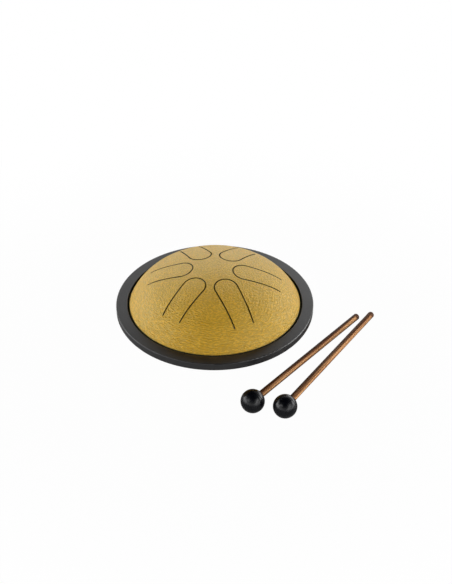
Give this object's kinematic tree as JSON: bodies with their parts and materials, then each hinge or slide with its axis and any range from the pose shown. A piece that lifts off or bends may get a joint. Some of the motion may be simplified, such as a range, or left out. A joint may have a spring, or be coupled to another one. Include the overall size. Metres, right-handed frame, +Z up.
{
  "type": "steel tongue drum",
  "caption": "Steel tongue drum: a domed steel shell with tongues cut in it over a bowl with a sound hole, a rubber rim ring and feet, and rubber-headed wooden mallets beside it.",
  "frame": {"origin": "centre of the sound hole, on the drum's underside; the feet stand 4 mm lower", "axes": "+Z up along the drum's axis, +X to the player's right, -Y towards the player"},
  "size_m": [0.2419, 0.2091, 0.0769],
  "materials": {
    "gold_paint": "satin",
    "weld_steel": "satin",
    "ring_rubber": "matte",
    "foot_rubber": "matte",
    "head_rubber": "satin",
    "stick_wood": "satin"
  },
  "bodies": {
    "drum": {"top_shell": "gold_paint", "bottom_shell": "gold_paint", "seam_weld": "weld_steel", "rim_ring": "ring_rubber", "foot_front_right": "foot_rubber", "foot_back_right": "foot_rubber", "foot_back_left": "foot_rubber", "foot_front_left": "foot_rubber"},
    "inner_mallet": {"inner_mallet_head": "head_rubber", "inner_mallet_stick": "stick_wood"},
    "outer_mallet": {"outer_mallet_head": "head_rubber", "outer_mallet_stick": "stick_wood"}
  },
  "joints": [
    {"name": "inner_mallet_lift", "type": "slide", "parent": "drum", "child": "inner_mallet", "axis": [0.413, -0.282, 0.866], "range_m": [0, 0.12]},
    {"name": "outer_mallet_lift", "type": "slide", "parent": "drum", "child": "outer_mallet", "axis": [0.413, -0.282, 0.866], "range_m": [0, 0.12]}
  ]
}
